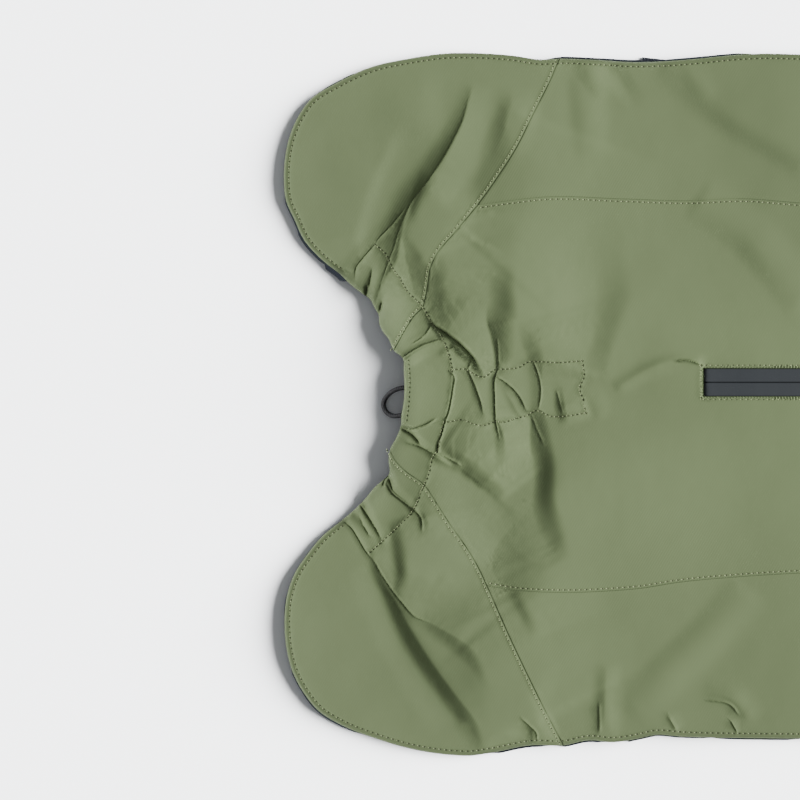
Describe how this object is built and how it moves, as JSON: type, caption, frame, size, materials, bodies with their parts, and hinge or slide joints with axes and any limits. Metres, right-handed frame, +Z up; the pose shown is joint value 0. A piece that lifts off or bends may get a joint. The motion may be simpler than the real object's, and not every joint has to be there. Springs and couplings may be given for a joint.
{
  "type": "dog winter coat",
  "caption": "Padded dog winter coat laid flat, back up, with round chest lobes, a gathered neck with a cord loop, a zipped leash port and a belly belt folded beneath.",
  "frame": {"origin": "centre of the coat's own box, on the floor that it lies on", "axes": "+Z up, +X from the neck to the tail, +Y to the dog's right side"},
  "size_m": [0.4095, 0.3502, 0.0184],
  "materials": {
    "shell": "matt padded twill, sage green",
    "lining": "matt, dark charcoal",
    "webbing": "matt, ribbed elastic",
    "elastic_cord": "braided, black",
    "zip_tape": "coated, satin, slate",
    "slider": "satin paint"
  },
  "bodies": {
    "coat": {"back_panel": "shell", "side_panel_right": "shell", "side_panel_left": "shell", "chest_panel_right": "shell", "chest_panel_left": "shell", "neck_band": "shell", "lining": "lining", "belly_belt": "webbing", "neck_cord": "elastic_cord", "zip_tape_right": "zip_tape", "zip_tape_left": "zip_tape", "zip_slider": "slider"},
    "pull_tab": {"zip_pull": "slider"}
  },
  "joints": [
    {"name": "pull_tab_swing", "type": "hinge", "parent": "coat", "child": "pull_tab", "pos_m": [0.0792, 0.01065, 0.00983], "axis": [0, 1, 0], "range_deg": [0, 150]}
  ]
}
